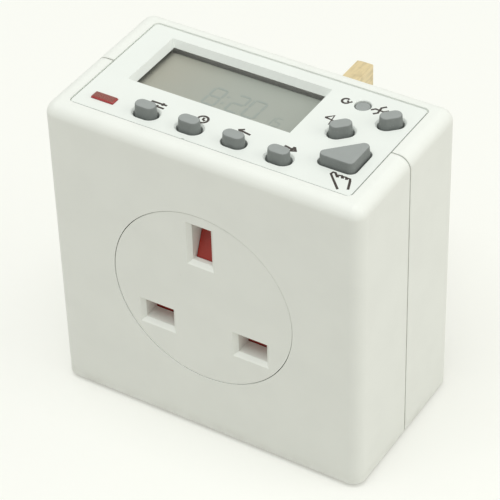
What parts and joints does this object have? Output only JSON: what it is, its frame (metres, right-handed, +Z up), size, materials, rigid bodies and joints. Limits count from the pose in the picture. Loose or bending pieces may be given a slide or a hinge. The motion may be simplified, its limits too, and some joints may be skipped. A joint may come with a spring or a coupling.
{
  "type": "plug-in timer",
  "caption": "Plug-in mains timer: three-pin plug behind, shuttered three-pin outlet in front, keys and a display on top.",
  "frame": {"origin": "centre of the housing's underside", "axes": "+X right along the outlet face, +Y back along the plug pins, +Z up through the control panel"},
  "size_m": [0.0724, 0.0683, 0.0732],
  "materials": {
    "housing_white": "fine matt moulded texture",
    "panel_white": "fine matt moulded texture",
    "carrier_white": "matt",
    "retainer_grey": "matt",
    "holder_white": "matt",
    "shutter_red": "smooth",
    "lens_red": "tinted, clear",
    "led_red": "diffused",
    "key_rubber": "matt silicone",
    "pill_black": "carbon loaded",
    "zebra_grey": "matt",
    "window_clear": "clear polished",
    "display_glass": "grey reflective display",
    "pin_brass": "milled, dull",
    "contact_brass": "rolled strip",
    "sleeve_black": "matt",
    "screw_steel": "zinc plated",
    "spring_steel": "drawn wire",
    "can_steel": "bright can",
    "board_green": "solder resist",
    "component_black": "moulded",
    "relay_blue": "moulded",
    "capacitor_yellow": "moulded",
    "capacitor_black": "shrink sleeve",
    "varistor_blue": "dipped lacquer",
    "ribbon_grey": "pvc"
  },
  "bodies": {
    "timer": {"front_case": "housing_white", "rear_case": "housing_white", "outlet_insert": "housing_white", "control_panel": "panel_white", "case_screws": "screw_steel", "board_screws": "screw_steel", "shutter_spring": "spring_steel", "contact_carrier": "carrier_white", "pin_sleeves": "sleeve_black", "pin_retainer": "retainer_grey", "neutral_strap": "contact_brass", "earth_strap": "contact_brass", "live_clip": "contact_brass", "neutral_clip": "contact_brass", "earth_clip": "contact_brass", "live_pin": "pin_brass", "neutral_pin": "pin_brass", "earth_pin": "pin_brass", "display_window": "window_clear", "lcd_cell": "display_glass", "lcd_holder": "holder_white", "zebra_strips": "zebra_grey", "control_board": "board_green", "power_board": "board_green", "keypad_mat": "key_rubber", "led_lens": "lens_red", "indicator_led": "led_red", "controller_chip": "component_black", "quartz_crystal": "can_steel", "backup_cell": "can_steel", "relay": "relay_blue", "dropper_capacitor": "capacitor_yellow", "smoothing_capacitor": "capacitor_black", "varistor": "varistor_blue", "bridge_rectifier": "component_black", "board_link": "ribbon_grey", "live_feed_strap": "contact_brass", "switched_live_strap": "contact_brass", "neutral_feed_strap": "contact_brass"},
    "shutter": {"shutter": "shutter_red"},
    "set_key": {"set_key": "key_rubber", "set_key_pill": "pill_black"},
    "time_key": {"time_key": "key_rubber", "time_key_pill": "pill_black"},
    "left_key": {"left_key": "key_rubber", "left_key_pill": "pill_black"},
    "right_key": {"right_key": "key_rubber", "right_key_pill": "pill_black"},
    "countdown_key": {"countdown_key": "key_rubber", "countdown_key_pill": "pill_black"},
    "random_key": {"random_key": "key_rubber", "random_key_pill": "pill_black"},
    "manual_key": {"manual_key": "key_rubber", "manual_key_pill": "pill_black"},
    "reset_key": {"reset_key": "key_rubber", "reset_key_pill": "pill_black"}
  },
  "joints": [
    {"name": "set_key_press", "type": "slide", "parent": "timer", "child": "set_key", "axis": [0, 0, -1], "range_m": [0, 0.0012], "stiffness_N_per_m": 600},
    {"name": "time_key_press", "type": "slide", "parent": "timer", "child": "time_key", "axis": [0, 0, -1], "range_m": [0, 0.0012], "stiffness_N_per_m": 600},
    {"name": "left_key_press", "type": "slide", "parent": "timer", "child": "left_key", "axis": [0, 0, -1], "range_m": [0, 0.0012], "stiffness_N_per_m": 600},
    {"name": "right_key_press", "type": "slide", "parent": "timer", "child": "right_key", "axis": [0, 0, -1], "range_m": [0, 0.0012], "stiffness_N_per_m": 600},
    {"name": "countdown_key_press", "type": "slide", "parent": "timer", "child": "countdown_key", "axis": [0, 0, -1], "range_m": [0, 0.0012], "stiffness_N_per_m": 600},
    {"name": "random_key_press", "type": "slide", "parent": "timer", "child": "random_key", "axis": [0, 0, -1], "range_m": [0, 0.0012], "stiffness_N_per_m": 600},
    {"name": "manual_key_press", "type": "slide", "parent": "timer", "child": "manual_key", "axis": [0, 0, -1], "range_m": [0, 0.0012], "stiffness_N_per_m": 600},
    {"name": "reset_key_press", "type": "slide", "parent": "timer", "child": "reset_key", "axis": [0, 0, -1], "range_m": [0, 0.0008], "stiffness_N_per_m": 600},
    {"name": "shutter_slide", "type": "slide", "parent": "timer", "child": "shutter", "axis": [0, 0, -1], "range_m": [0, 0.0065], "stiffness_N_per_m": 60, "springref_m": -0.004, "deforming": ["shutter_spring"]}
  ]
}
